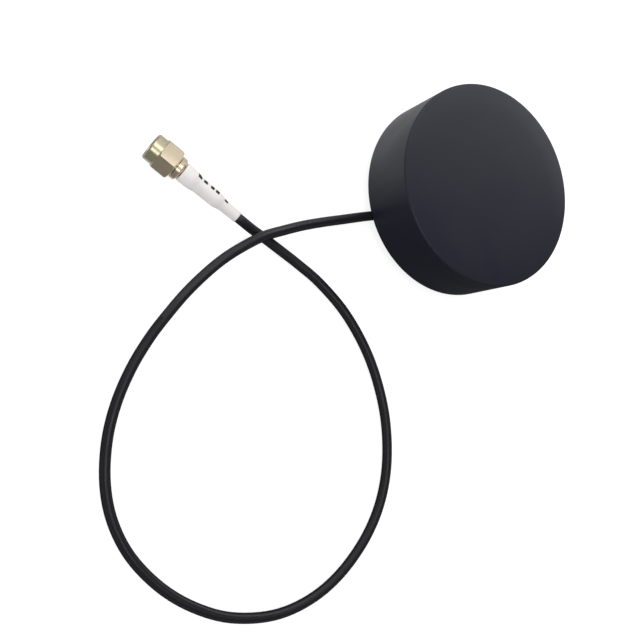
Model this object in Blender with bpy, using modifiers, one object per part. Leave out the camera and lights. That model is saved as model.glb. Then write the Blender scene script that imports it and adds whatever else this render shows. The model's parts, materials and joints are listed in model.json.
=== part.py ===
"""A round GPS antenna: a moulded puck with a ceramic patch, a coaxial lead and a screw-on coaxial plug.

Run with: blender --background --python part.py
Units are metres. The origin is the centre of the puck's foot, on the surface it stands on. +Z is up,
and the lead leaves the puck towards -Y.
"""

import math

import bmesh
import bpy
from mathutils import Matrix, Vector

MM = 0.001

# Clearances
FIT = 0.1 * MM  # a piece in its own hole or recess
RUNNING = 0.08 * MM  # a piece that turns on another
GAP = 0.3 * MM  # pieces that lie beside each other without touching

# Lead: a thin coaxial cable
CABLE_DIAMETER = 2.8 * MM
BRAID_DIAMETER = 2.2 * MM
CORE_DIAMETER = 0.6 * MM

# Puck
PUCK_DIAMETER = 60.0 * MM
COVER_HEIGHT = 19.1 * MM  # from the cover's rim to the middle of its face
COVER_WALL = 2.5 * MM
COVER_TOP = 2.4 * MM
EDGE_RADIUS = 1.2 * MM  # round between the face and the side
RIM_BREAK = 0.3 * MM  # small chamfer round the cover's lower rim
CROWN_DROP = 0.4 * MM  # fall of the face from its middle to the edge round
CROWN_FLAT = 22.0 * MM  # radius of the flat middle of the face
RIM_WALL = 1.4 * MM  # wall left beside the flange's recess
GASKET_THICKNESS = 0.6 * MM
FLANGE_THICKNESS = 1.8 * MM

# Foot
FOOT_SETBACK = 3.6 * MM  # how far the foot stands back under the cover's rim
PAD_THICKNESS = 1.0 * MM
PAD_SETBACK = 0.9 * MM

# Strain relief, moulded on the lead and held in a pocket of the foot
RELIEF_WIDTH = 7.0 * MM
RELIEF_LENGTH = 5.0 * MM
RELIEF_WALL = 0.3 * MM
RELIEF_ROOF = 0.5 * MM
KEY_WIDTH = 9.4 * MM  # the wider inner end, which keeps a pull on the lead off the board
KEY_LENGTH = 1.8 * MM

# Screws
BOSS_DIAMETER = 5.8 * MM
BOSS_RIB = 1.2 * MM
COVER_SCREW_DIAMETER = 2.4 * MM
COVER_SCREW_LENGTH = 9.0 * MM
COVER_HEAD_DIAMETER = 4.6 * MM
COVER_HEAD_HEIGHT = 1.8 * MM
BOARD_SCREW_DIAMETER = 1.9 * MM
BOARD_SCREW_LENGTH = 5.0 * MM
BOARD_HEAD_DIAMETER = 3.8 * MM
BOARD_HEAD_HEIGHT = 1.3 * MM

# Board and patch
STANDOFF_HEIGHT = 3.6 * MM
STANDOFF_DIAMETER = 4.6 * MM
BOARD_THICKNESS = 1.6 * MM
BOARD_SETBACK = 2.5 * MM  # from the cover's inner wall
PATCH_CLEARANCE = 1.6 * MM  # from the patch's corners to the cover's bosses
PATCH_THICKNESS = 4.0 * MM
TAPE_THICKNESS = 0.5 * MM
ELECTRODE_MARGIN = 1.0 * MM
ELECTRODE_THICKNESS = 0.15 * MM
ELECTRODE_CORNER = 2.0 * MM  # cut from two corners, which makes the patch turn the wave
FEED_OFFSET = 2.2 * MM
FEED_DIAMETER = 1.0 * MM
FEED_HEAD_DIAMETER = 2.4 * MM
CAN_CLEARANCE = 1.8 * MM  # from the can's ends to the bosses beside it
CAN_WIDTH = 16.0 * MM
CAN_HEIGHT = 2.6 * MM
CAN_WALL = 0.3 * MM
CAN_OFFSET = 5.0 * MM  # towards +Y, clear of the lead

# Plug, measured along its axis from the coupling nut's front face
NUT_FLATS = 8.0 * MM
NUT_LENGTH = 7.8 * MM
COLLAR_LENGTH = 2.7 * MM
COLLAR_DIAMETER = 7.6 * MM
NUT_CHAMFER = 0.35 * MM
NUT_BORE = 5.7 * MM  # inside its thread
REFERENCE_DEPTH = 2.9 * MM  # where the mating plug's end face lands
SLEEVE_DIAMETER = 4.6 * MM  # outer conductor
SLEEVE_BORE = 4.2 * MM
FLANGE_DEPTH = 5.0 * MM
FLANGE_LENGTH = 1.1 * MM
PLUG_FLANGE_DIAMETER = 5.5 * MM
RING_GROOVE = 0.5 * MM
RING_THICKNESS = 0.4 * MM
RING_DIAMETER = 5.9 * MM
RING_GROOVE_DIAMETER = 4.0 * MM
SHANK_DIAMETER = 4.7 * MM
NECK_GAP = 0.4 * MM  # between the nut and the neck ring
NECK_DIAMETER = 6.4 * MM
NECK_LENGTH = 1.7 * MM
NECK_TAPER = 0.45 * MM  # fall of the neck ring's radius towards the sleeve
STEM_DIAMETER = 2.9 * MM
STEM_BORE = 1.8 * MM
STEM_LENGTH = 3.3 * MM
GASKET_SECTION = 0.6 * MM
PIN_DIAMETER = 1.27 * MM
PIN_TIP_DIAMETER = 0.92 * MM
PIN_TIP_LENGTH = 2.0 * MM
FERRULE_LENGTH = 10.8 * MM
FERRULE_MOUTH = 4.0 * MM  # length that isn't crimped down
FERRULE_DIAMETER = 4.6 * MM
FERRULE_CRIMP_DIAMETER = 3.9 * MM
FERRULE_BORE = 3.3 * MM
SHRINK_LENGTH = 18.9 * MM  # the white shrink sleeve
SHRINK_WALL = 0.3 * MM
SHRINK_TRANSITION = 1.3 * MM

# Where the plug lies, on a flat of its nut: the sleeve's cable end, and the heading from the nut to it
PLUG_TAIL = Vector((-6.98, -72.56)) * MM
PLUG_HEADING = math.radians(39.9)

# Facets
PUCK_SIDES = 72
PLUG_SIDES = 30
NUT_SIDES = 36
SMALL_SIDES = 14

# The lead's route outside the puck, from the foot to the plug
CABLE_ROUTE = [
    Vector(point) * MM
    for point in (
        (0.0, -27.5, 1.95),
        (-0.4, -32.3, 2.0),
        (-0.8, -39.8, 2.35),
        (-1.1, -46.3, 3.1),
        (-1.2, -53.7, 4.05),
        (-0.9, -60.9, 4.95),
        (-0.5, -66.7, 5.45),
        (0.6, -72.0, 5.35),
        (2.6, -78.5, 4.7),
        (5.2, -84.2, 3.45),
        (9.1, -91.0, 2.2),
        (13.6, -97.5, 1.5),
        (18.3, -103.7, 1.4),
        (24.5, -110.3, 1.4),
        (32.0, -116.3, 1.4),
        (40.2, -120.8, 1.4),
        (49.8, -123.8, 1.4),
        (59.1, -124.4, 1.4),
        (68.6, -122.4, 1.4),
        (78.2, -117.4, 1.4),
        (86.1, -110.6, 1.4),
        (92.5, -101.9, 1.4),
        (96.6, -90.7, 1.4),
        (97.0, -79.7, 1.4),
        (94.2, -69.1, 1.4),
        (88.3, -58.9, 1.4),
        (80.7, -51.1, 1.4),
        (71.2, -45.5, 1.4),
        (59.7, -42.1, 1.4),
        (48.5, -41.2, 1.4),
        (37.2, -42.3, 1.4),
        (25.4, -45.9, 1.4),
        (15.4, -51.5, 1.4),
        (8.6, -57.0, 1.5),
        (3.6, -61.7, 1.85),
        (-0.1, -65.4, 2.4),
        (-3.2, -68.8, 3.1),
    )
]
ROUTE_STEPS = 2  # facets of the lead between two points of its route

# Heights in the puck, from the surface up
exit_height = 0.15 * MM + RELIEF_WALL + CABLE_DIAMETER / 2 + FIT
rim_height = exit_height + CABLE_DIAMETER / 2 + 0.25 * MM
flange_top = rim_height + FLANGE_THICKNESS
shoulder_height = flange_top + GASKET_THICKNESS
board_bottom = flange_top + STANDOFF_HEIGHT
board_top = board_bottom + BOARD_THICKNESS
patch_bottom = board_top + TAPE_THICKNESS
patch_top = patch_bottom + PATCH_THICKNESS
face_height = rim_height + COVER_HEIGHT
ceiling_height = face_height - COVER_TOP

# Radii in the puck
puck_radius = PUCK_DIAMETER / 2
inner_radius = puck_radius - COVER_WALL
recess_radius = puck_radius - RIM_WALL
flange_radius = recess_radius - 2 * FIT
foot_radius = puck_radius - FOOT_SETBACK
pad_radius = foot_radius - PAD_SETBACK
board_radius = inner_radius - BOARD_SETBACK
boss_circle = inner_radius - BOSS_DIAMETER / 2 - 2.4 * MM
standoff_circle = board_radius - STANDOFF_DIAMETER / 2 - 2.0 * MM

# Room between the four bosses, which stand on the diagonals
boss_offset = boss_circle * math.cos(math.radians(45))
patch_side = (boss_circle - BOSS_DIAMETER / 2 - PATCH_CLEARANCE) * math.sqrt(2)
can_length = 2 * (boss_offset - BOSS_DIAMETER / 2 - CAN_CLEARANCE)

# Depths along the plug
neck_front = NUT_LENGTH + NECK_GAP
neck_back = neck_front + NECK_LENGTH
groove_front = FLANGE_DEPTH + FLANGE_LENGTH
groove_back = groove_front + RING_GROOVE
ferrule_front = neck_back + GAP
ferrule_back = ferrule_front + FERRULE_LENGTH
stem_back = neck_back + STEM_LENGTH
cable_end_depth = stem_back + GAP
shrink_front = neck_back + FIT
shrink_back = shrink_front + SHRINK_LENGTH

FINISHES = {
    "charcoal plastic": ((0.045, 0.047, 0.054), 0.55, 0.0),
    "black plastic": ((0.020, 0.020, 0.022), 0.50, 0.0),
    "black rubber": ((0.015, 0.015, 0.016), 0.70, 0.0),
    "grey foam": ((0.35, 0.35, 0.36), 0.90, 0.0),
    "silicone": ((0.55, 0.16, 0.10), 0.55, 0.0),
    "zinc steel": ((0.60, 0.60, 0.62), 0.35, 1.0),
    "green board": ((0.02, 0.14, 0.06), 0.45, 0.0),
    "ceramic": ((0.62, 0.55, 0.42), 0.60, 0.0),
    "silver": ((0.82, 0.81, 0.78), 0.30, 1.0),
    "tin plate": ((0.68, 0.68, 0.69), 0.32, 1.0),
    "chip resin": ((0.03, 0.03, 0.03), 0.60, 0.0),
    "copper": ((0.72, 0.38, 0.24), 0.35, 1.0),
    "cable jacket": ((0.012, 0.012, 0.013), 0.45, 0.0),
    "white sleeve": ((0.86, 0.85, 0.84), 0.45, 0.0),
    "pale gold": ((0.74, 0.66, 0.52), 0.28, 1.0),
    "insulator": ((0.90, 0.89, 0.86), 0.50, 0.0),
    "gold": ((0.86, 0.62, 0.25), 0.25, 1.0),
}


def clear_scene():
    for obj in list(bpy.data.objects):
        bpy.data.objects.remove(obj)


def new_collection(name):
    collection = bpy.data.collections.new(name)
    bpy.context.scene.collection.children.link(collection)
    return collection


def finish(name):
    """The named material, made once."""
    material = bpy.data.materials.get(name)
    if material:
        return material
    colour, roughness, metallic = FINISHES[name]
    material = bpy.data.materials.new(name)
    material.use_nodes = True
    shader = material.node_tree.nodes["Principled BSDF"]
    shader.inputs["Base Color"].default_value = (*colour, 1)
    shader.inputs["Roughness"].default_value = roughness
    shader.inputs["Metallic"].default_value = metallic
    return material


def add_object(name, data, material=None, parent=None):
    """An object in the antenna's collection, or a hidden helper where it has no material."""
    obj = bpy.data.objects.new(name, data)
    if material:
        data.materials.append(finish(material))
        antenna.objects.link(obj)
    else:
        cutters.objects.link(obj)
        obj.hide_render = True
        obj.display_type = "WIRE"
    obj.parent = parent
    return obj


def add_mesh(name, shape, material=None, parent=None):
    """An object made from a bmesh, which is freed."""
    mesh = bpy.data.meshes.new(name)
    shape.to_mesh(mesh)
    shape.free()
    return add_object(name, mesh, material, parent)


def turned(name, profile, sides, material=None, parent=None):
    """A solid turned about Z from (radius, height) points, which run from the top down the outside.

    A profile that starts or ends off the axis is closed into a ring.
    """
    points = [(radius, 0, height) for radius, height in profile]
    edges = [(i, i + 1) for i in range(len(points) - 1)]
    if profile[0][0] > 0 or profile[-1][0] > 0:
        edges.append((len(points) - 1, 0))
    mesh = bpy.data.meshes.new(name)
    mesh.from_pydata(points, edges, [])
    obj = add_object(name, mesh, material, parent)
    screw = obj.modifiers.new("Turn", "SCREW")
    screw.axis = "Z"
    screw.angle = math.tau
    screw.steps = sides
    screw.render_steps = sides
    screw.use_merge_vertices = True
    screw.merge_threshold = 0.000001
    return obj


def ring(outer, inner, low, high):
    """The profile of a plain ring."""
    return [(inner, high), (outer, high), (outer, low), (inner, low)]


def arc(centre, radius, start, end, count):
    """Points on a round, from the start angle to the end angle in degrees."""
    angles = [math.radians(start + (end - start) * i / count) for i in range(count + 1)]
    return [(centre[0] + radius * math.cos(a), centre[1] + radius * math.sin(a)) for a in angles]


def cylinders(centres, radius, low, high, sides=SMALL_SIDES):
    """A bmesh of upright cylinders, one at each (x, y)."""
    shape = bmesh.new()
    for x, y in centres:
        place = Matrix.Translation((x, y, (low + high) / 2))
        bmesh.ops.create_cone(
            shape, cap_ends=True, segments=sides, radius1=radius, radius2=radius,
            depth=high - low, matrix=place,
        )
    return shape


def block(low, high):
    """A bmesh box between two corners."""
    low, high = Vector(low), Vector(high)
    size = high - low
    place = Matrix.Translation((low + high) / 2) @ Matrix.Diagonal((*size, 1))
    shape = bmesh.new()
    bmesh.ops.create_cube(shape, size=1, matrix=place)
    return shape


def combine(obj, other, operation="DIFFERENCE"):
    """Adds a Boolean modifier to obj, with other as its operand."""
    boolean = obj.modifiers.new(other.name, "BOOLEAN")
    boolean.operation = operation
    boolean.object = other
    return obj


def on_circle(radius, degrees):
    """The (x, y) at each angle on a circle."""
    return [(radius * math.cos(math.radians(a)), radius * math.sin(math.radians(a))) for a in degrees]


BOSS_ANGLES = (45, 135, 225, 315)
STANDOFF_ANGLES = (0, 90, 180)


def cover_profile():
    """The cover's section: crowned face, edge round, side, recessed rim, shoulder and inner wall."""
    crown_edge = puck_radius - EDGE_RADIUS
    crown_width = crown_edge - CROWN_FLAT
    points = [(0, face_height)]
    for i in range(4):
        t = i / 3
        points.append((CROWN_FLAT + crown_width * t, face_height - CROWN_DROP * t * t))
    round_centre = (crown_edge, face_height - CROWN_DROP - EDGE_RADIUS)
    points += arc(round_centre, EDGE_RADIUS, 72, 0, 4)
    points += [
        (puck_radius, rim_height + RIM_BREAK),
        (puck_radius - RIM_BREAK, rim_height),
        (recess_radius, rim_height),
        (recess_radius, shoulder_height),
        (inner_radius, shoulder_height),
    ]
    inner_round = COVER_TOP / 2
    inner_centre = (inner_radius - inner_round, ceiling_height - inner_round)
    points += arc(inner_centre, inner_round, 0, 90, 3)
    points.append((0, ceiling_height))
    return points


def build_cover():
    """The moulded cover, with four screw bosses tied to its wall by ribs."""
    cover = turned("radome_cover", cover_profile(), PUCK_SIDES, "charcoal plastic")
    centres = on_circle(boss_circle, BOSS_ANGLES)
    root = ceiling_height + COVER_TOP / 4
    bosses = cylinders(centres, BOSS_DIAMETER / 2, flange_top, root, 24)
    combine(cover, add_mesh("cover_bosses", bosses), "UNION")
    ribs = bmesh.new()
    for angle in BOSS_ANGLES:
        length = inner_radius - boss_circle + COVER_WALL / 4
        low = flange_top + 2.6 * MM
        place = (
            Matrix.Rotation(math.radians(angle), 4, "Z")
            @ Matrix.Translation((boss_circle + length / 2, 0, (low + root) / 2))
            @ Matrix.Diagonal((length, BOSS_RIB, root - low, 1))
        )
        bmesh.ops.create_cube(ribs, size=1, matrix=place)
    combine(cover, add_mesh("cover_ribs", ribs), "UNION")
    pilot_top = flange_top + COVER_SCREW_LENGTH
    pilots = cylinders(centres, COVER_SCREW_DIAMETER / 2 + FIT, flange_top - 1 * MM, pilot_top)
    combine(cover, add_mesh("cover_pilot_holes", pilots))


def build_base():
    """The base plate: flange, foot, standoffs, screw seats and the lead's pocket."""
    corner = 0.4 * MM
    profile = [
        (0, flange_top),
        (flange_radius, flange_top),
        (flange_radius, rim_height),
        (foot_radius, rim_height),
        (foot_radius, PAD_THICKNESS + corner),
        (foot_radius - corner, PAD_THICKNESS),
        (0, PAD_THICKNESS),
    ]
    base = turned("base_plate", profile, PUCK_SIDES, "black plastic")
    centres = on_circle(standoff_circle, STANDOFF_ANGLES)
    root = flange_top - FLANGE_THICKNESS / 2
    standoffs = cylinders(centres, STANDOFF_DIAMETER / 2, root, board_bottom)
    combine(base, add_mesh("board_standoffs", standoffs), "UNION")
    pilots = cylinders(
        centres, BOARD_SCREW_DIAMETER / 2 + FIT, board_top - BOARD_SCREW_LENGTH - GAP, board_bottom + 1 * MM
    )
    combine(base, add_mesh("board_pilot_holes", pilots))

    screw_seats = on_circle(boss_circle, BOSS_ANGLES)
    seat = screw_seat_height()
    pockets = cylinders(screw_seats, COVER_HEAD_DIAMETER / 2 + GAP, PAD_THICKNESS - 1 * MM, seat)
    combine(base, add_mesh("screw_pockets", pockets))
    holes = cylinders(screw_seats, COVER_SCREW_DIAMETER / 2 + 2 * FIT, seat - 1 * MM, flange_top + 1 * MM)
    combine(base, add_mesh("screw_holes", holes))

    pocket = relief_shape(FIT, PAD_THICKNESS - 1 * MM, relief_top() + FIT)
    combine(base, add_mesh("relief_pocket", pocket))
    channel_half = CABLE_DIAMETER / 2 + GAP
    channel = block(
        (-channel_half, relief_back(), PAD_THICKNESS - 1 * MM),
        (channel_half, cable_turn_y() + channel_half, flange_top + 1 * MM),
    )
    combine(base, add_mesh("cable_channel", channel))


def screw_seat_height():
    """Height of the face that the cover screws' heads bear on."""
    return PAD_THICKNESS + 0.4 * MM + COVER_HEAD_HEIGHT


def relief_back():
    """The strain relief's inner end."""
    return -foot_radius + RELIEF_LENGTH


def relief_top():
    """The strain relief's highest face."""
    return exit_height + CABLE_DIAMETER / 2 + FIT + RELIEF_ROOF


def cable_bend():
    """Centreline radius of the lead's turn up to the board."""
    return cable_top() - GAP - exit_height


def cable_turn_y():
    """Where the lead stands upright under the board."""
    return relief_back() + cable_bend()


def relief_shape(clearance, low, high):
    """A bmesh of the T-shaped relief, or of its pocket where there is clearance."""
    front = -foot_radius - (1 * MM if clearance else 0)
    back = relief_back()
    narrow = RELIEF_WIDTH / 2 + clearance
    wide = KEY_WIDTH / 2 + clearance
    outline = [
        (-narrow, front), (narrow, front), (narrow, back - KEY_LENGTH - clearance),
        (wide, back - KEY_LENGTH - clearance), (wide, back + clearance),
        (-wide, back + clearance), (-wide, back - KEY_LENGTH - clearance),
        (-narrow, back - KEY_LENGTH - clearance),
    ]
    return upright_prism(outline, low, high)


def upright_prism(outline, low, high):
    """A bmesh of an outline in x and y, raised from low to high."""
    shape = bmesh.new()
    floor = shape.faces.new([shape.verts.new((x, y, low)) for x, y in reversed(outline)])
    raised = bmesh.ops.extrude_face_region(shape, geom=[floor], use_keep_orig=True)
    top = [item for item in raised["geom"] if isinstance(item, bmesh.types.BMVert)]
    bmesh.ops.translate(shape, verts=top, vec=(0, 0, high - low))
    bmesh.ops.recalc_face_normals(shape, faces=shape.faces)
    return shape


def build_relief():
    """The strain relief: a block with a bore for the lead."""
    low = exit_height - CABLE_DIAMETER / 2 - FIT - RELIEF_WALL
    relief = add_mesh("strain_relief", relief_shape(0, low, relief_top()), "black rubber")
    bore = bmesh.new()
    place = Matrix.Translation((0, -foot_radius + RELIEF_LENGTH / 2, exit_height)) @ Matrix.Rotation(
        math.radians(90), 4, "X"
    )
    bmesh.ops.create_cone(
        bore, cap_ends=True, segments=24, radius1=CABLE_DIAMETER / 2 + FIT,
        radius2=CABLE_DIAMETER / 2 + FIT, depth=RELIEF_LENGTH + 2 * MM, matrix=place,
    )
    combine(relief, add_mesh("relief_bore", bore))


def build_seals():
    """The gasket under the cover's shoulder, and the foam pad with its slot for the lead."""
    outer = flange_radius - FIT
    turned("base_gasket", ring(outer, inner_radius + FIT, flange_top, shoulder_height), PUCK_SIDES, "silicone")
    pad = add_mesh("foot_pad", cylinders([(0, 0)], pad_radius, 0, PAD_THICKNESS, PUCK_SIDES), "grey foam")
    half = KEY_WIDTH / 2 + GAP
    slot_end = relief_back() + cable_bend() / 2
    slot = block((-half, -pad_radius - 1 * MM, -1 * MM), (half, slot_end, PAD_THICKNESS + 1 * MM))
    combine(pad, add_mesh("pad_slot", slot))


def screw_profile(head, head_height, shank, length):
    """A pan-head screw with its head upwards and the underside of its head at zero."""
    edge = head_height * 0.45
    point = shank * 0.5
    return [
        (0, head_height),
        (head / 2 - edge, head_height),
        (head / 2, head_height - edge),
        (head / 2, 0),
        (shank / 2, 0),
        (shank / 2, point - length),
        (shank / 4, -length),
        (0, -length),
    ]


def build_screw(name, place, head, head_height, shank, length, upside_down=False):
    """One cross-recessed screw."""
    screw = turned(name, screw_profile(head, head_height, shank, length), SMALL_SIDES, "zinc steel")
    screw.location = place
    recess = bmesh.new()
    slot = head * 0.6
    for turn in (0, 90):
        matrix = (
            Matrix.Rotation(math.radians(turn), 4, "Z")
            @ Matrix.Translation((0, 0, head_height))
            @ Matrix.Diagonal((slot, slot * 0.24, head_height, 1))
        )
        bmesh.ops.create_cube(recess, size=1, matrix=matrix)
    cutter = add_mesh(name + "_recess", recess, parent=screw)
    boolean = combine(screw, cutter).modifiers[-1]
    boolean.use_self = True
    if upside_down:
        screw.rotation_euler = (math.pi, 0, 0)
    return screw


def build_screws():
    """Four cover screws from below, and three board screws from above."""
    for number, (x, y) in enumerate(on_circle(boss_circle, BOSS_ANGLES), 1):
        build_screw(
            f"cover_screw_{number}", (x, y, screw_seat_height()), COVER_HEAD_DIAMETER,
            COVER_HEAD_HEIGHT, COVER_SCREW_DIAMETER, COVER_SCREW_LENGTH, upside_down=True,
        )
    for number, (x, y) in enumerate(on_circle(standoff_circle, STANDOFF_ANGLES), 1):
        build_screw(
            f"board_screw_{number}", (x, y, board_top), BOARD_HEAD_DIAMETER,
            BOARD_HEAD_HEIGHT, BOARD_SCREW_DIAMETER, BOARD_SCREW_LENGTH,
        )


def build_board():
    """The round board, notched for the cover's bosses."""
    blank = cylinders([(0, 0)], board_radius, board_bottom, board_top, PUCK_SIDES)
    board = add_mesh("antenna_board", blank, "green board")
    low, high = board_bottom - 1 * MM, board_top + 1 * MM
    bosses = on_circle(boss_circle, BOSS_ANGLES)
    notches = cylinders(bosses, BOSS_DIAMETER / 2 + GAP, low, high, 22)
    combine(board, add_mesh("board_notches", notches))
    screws = on_circle(standoff_circle, STANDOFF_ANGLES)
    holes = cylinders(screws, BOARD_SCREW_DIAMETER / 2 + 2 * FIT, low, high)
    combine(board, add_mesh("board_holes", holes))
    feed = cylinders([(0, FEED_OFFSET)], FEED_DIAMETER / 2 + FIT, low, high)
    combine(board, add_mesh("board_feed_hole", feed))
    core = cylinders([(0, cable_turn_y())], CORE_DIAMETER / 2 + FIT, low, high, 12)
    combine(board, add_mesh("board_core_hole", core))


def build_patch():
    """The ceramic patch on its tape, its silvered face and the pin that feeds it."""
    half = patch_side / 2
    feed_hole = cylinders([(0, FEED_OFFSET)], FEED_DIAMETER / 2 + FIT, board_top - 1 * MM, patch_top + 2 * MM)
    hole = add_mesh("patch_feed_hole", feed_hole)
    tape = block((-half, -half, board_top), (half, half, patch_bottom))
    combine(add_mesh("patch_tape", tape, "black rubber"), hole)
    ceramic = block((-half, -half, patch_bottom), (half, half, patch_top))
    upright = [e for e in ceramic.edges if abs(e.verts[0].co.z - e.verts[1].co.z) > PATCH_THICKNESS / 2]
    bmesh.ops.bevel(ceramic, geom=upright, offset=0.8 * MM, segments=2, profile=0.5, affect="EDGES")
    combine(add_mesh("patch_ceramic", ceramic, "ceramic"), hole)

    side = half - ELECTRODE_MARGIN
    cut = ELECTRODE_CORNER
    outline = [
        (-side, -side), (side - cut, -side), (side, cut - side), (side, side),
        (cut - side, side), (-side, side - cut),
    ]
    electrode = upright_prism(outline, patch_top, patch_top + ELECTRODE_THICKNESS)
    combine(add_mesh("patch_electrode", electrode, "silver"), hole)

    top = patch_top + ELECTRODE_THICKNESS
    head = FEED_HEAD_DIAMETER / 2
    profile = [
        (0, top + 0.45 * MM), (head * 0.6, top + 0.35 * MM), (head, top),
        (FEED_DIAMETER / 2, top), (FEED_DIAMETER / 2, board_bottom), (0, board_bottom),
    ]
    turned("feed_pin", profile, SMALL_SIDES, "tin plate").location.y = FEED_OFFSET


def build_amplifier():
    """The shield can under the board, with the amplifier and the filter in it."""
    bottom = board_bottom - CAN_HEIGHT
    low = (-can_length / 2, CAN_OFFSET - CAN_WIDTH / 2, bottom)
    high = (can_length / 2, CAN_OFFSET + CAN_WIDTH / 2, board_bottom)
    shape = block(low, high)
    bmesh.ops.delete(shape, geom=[f for f in shape.faces if f.normal.z > 0.5], context="FACES")
    can = add_mesh("shield_can", shape, "tin plate")
    shell = can.modifiers.new("Sheet", "SOLIDIFY")
    shell.thickness = CAN_WALL
    shell.offset = -1
    shell.use_even_offset = True
    parts = (
        ("amplifier_chip", -0.23, 3.0 * MM, 3.0 * MM, 0.9 * MM, "chip resin"),
        ("saw_filter", 0.07, 3.0 * MM, 3.0 * MM, 1.1 * MM, "tin plate"),
        ("voltage_regulator", 0.30, 2.9 * MM, 1.6 * MM, 1.1 * MM, "chip resin"),
    )
    for name, share, length, width, height, material in parts:
        x = can_length * share
        chip = block(
            (x - length / 2, CAN_OFFSET + 2 * MM - width / 2, board_bottom - height),
            (x + length / 2, CAN_OFFSET + 2 * MM + width / 2, board_bottom),
        )
        add_mesh(name, chip, material)


def build_cable_end():
    """The lead's braid and core, soldered to the board."""
    y = cable_turn_y()
    end = cable_top()
    core = CORE_DIAMETER / 2
    braid = turned("braid_end", ring(BRAID_DIAMETER / 2, core + FIT, end, board_bottom), SMALL_SIDES, "copper")
    braid.location.y = y
    solder_top = board_top + 0.3 * MM
    profile = [(0, solder_top), (core, solder_top), (core, end), (0, end)]
    turned("core_end", profile, 12, "copper").location.y = y


def cable_top():
    """Height at which the lead's jacket is stripped."""
    return board_bottom - 0.6 * MM


def plug_axis():
    """Direction of the plug's axis, from its mouth towards the lead."""
    return Vector((math.cos(PLUG_HEADING), math.sin(PLUG_HEADING), 0))


def plug_point(depth):
    """The point on the plug's axis at a depth behind the nut's front face."""
    tail = Vector((*PLUG_TAIL, NUT_FLATS / 2))
    return tail - plug_axis() * (shrink_back - depth)


def build_plug_frame():
    """An empty on the nut's front face, with +Z along the plug's axis and +Y up."""
    forward = plug_axis()
    side = Vector((0, 0, 1)).cross(forward).normalized()
    up = forward.cross(side)
    frame = Matrix((side, up, forward)).transposed().to_4x4()
    frame.translation = plug_point(0)
    empty = bpy.data.objects.new("plug_frame", None)
    antenna.objects.link(empty)
    empty.empty_display_size = 0.005
    empty.matrix_world = frame
    return empty


def build_nut(frame):
    """The coupling nut: a turned blank with its hexagon milled on."""
    corner = NUT_FLATS / 2 / math.cos(math.radians(30))
    end = NUT_FLATS / 2 - 0.05 * MM
    slope = (corner - end) * math.tan(math.radians(30))
    bore = NUT_BORE / 2
    relief = RING_DIAMETER / 2 + 1.5 * FIT
    rear = SHANK_DIAMETER / 2 + RUNNING
    relief_front = FLANGE_DEPTH - GASKET_SECTION + FIT
    relief_back_depth = groove_back + 1.5 * FIT
    collar = COLLAR_DIAMETER / 2
    profile = [
        (rear, NUT_LENGTH),
        (end, NUT_LENGTH),
        (corner, NUT_LENGTH - slope),
        (corner, COLLAR_LENGTH + slope),
        (end, COLLAR_LENGTH),
        (collar, COLLAR_LENGTH),
        (collar, NUT_CHAMFER),
        (collar - NUT_CHAMFER, 0),
        (bore + NUT_CHAMFER, 0),
        (bore, NUT_CHAMFER),
        (bore, relief_front),
        (relief, relief_front + (relief - bore)),
        (relief, relief_back_depth),
        (rear, relief_back_depth),
    ]
    nut = turned("coupling_nut", profile, NUT_SIDES, "pale gold", frame)
    hexagon = bmesh.new()
    place = Matrix.Translation((0, 0, NUT_LENGTH / 2))
    bmesh.ops.create_cone(
        hexagon, cap_ends=True, segments=6, radius1=corner, radius2=corner, depth=NUT_LENGTH + 2 * MM, matrix=place
    )
    # create_cone puts a corner on Y, and a flat belongs there.
    bmesh.ops.rotate(hexagon, verts=hexagon.verts, matrix=Matrix.Rotation(math.radians(30), 3, "Z"))
    combine(nut, add_mesh("nut_hexagon", hexagon, parent=frame), "INTERSECT")


def build_plug_body(frame):
    """The plug's body: outer conductor, flange, ring groove, shank, neck ring and crimp stem."""
    edge = 0.25 * MM
    neck = NECK_DIAMETER / 2
    sleeve = SLEEVE_DIAMETER / 2
    flange = PLUG_FLANGE_DIAMETER / 2
    shank = SHANK_DIAMETER / 2
    groove = RING_GROOVE_DIAMETER / 2
    bore = SLEEVE_BORE / 2
    stem_bore = STEM_BORE / 2
    insulator_back = neck_back - 1.3 * MM
    # The ring's groove leaves little wall, so the bore steps in ahead of it.
    step = FLANGE_DEPTH - 0.2 * MM
    step_bore = groove - 0.45 * MM
    profile = [
        (stem_bore, stem_back), (STEM_DIAMETER / 2, stem_back), (STEM_DIAMETER / 2, neck_back),
        (neck - NECK_TAPER, neck_back), (neck, neck_back - NECK_LENGTH * 0.4),
        (neck, neck_front + edge), (neck - edge, neck_front),
        (shank, neck_front), (shank, groove_back), (groove, groove_back), (groove, groove_front),
        (flange, groove_front), (flange, FLANGE_DEPTH), (sleeve, FLANGE_DEPTH), (sleeve, REFERENCE_DEPTH),
        (bore, REFERENCE_DEPTH), (bore, step), (step_bore, step), (step_bore, insulator_back),
        (stem_bore, insulator_back),
    ]
    turned("connector_body", profile, PLUG_SIDES, "pale gold", frame)

    pin = PIN_DIAMETER / 2
    front = REFERENCE_DEPTH
    insulator = [
        (pin + FIT, insulator_back - FIT), (step_bore - FIT, insulator_back - FIT), (step_bore - FIT, step - FIT),
        (bore - FIT, step - FIT), (bore - FIT, front), (pin + FIT, front),
    ]
    turned("dielectric", insulator, PLUG_SIDES, "insulator", frame)
    tip = PIN_TIP_DIAMETER / 2
    nose = 0.3 * MM
    pin_back = stem_back - 1.0 * MM
    pin_profile = [
        (0, pin_back), (tip, pin_back), (tip, insulator_back - 0.5 * MM), (pin, insulator_back - 0.5 * MM),
        (pin, front), (tip, front), (tip, front - PIN_TIP_LENGTH + nose), (tip - nose, front - PIN_TIP_LENGTH),
        (0, front - PIN_TIP_LENGTH),
    ]
    turned("centre_pin", pin_profile, SMALL_SIDES, "gold", frame)


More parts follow.
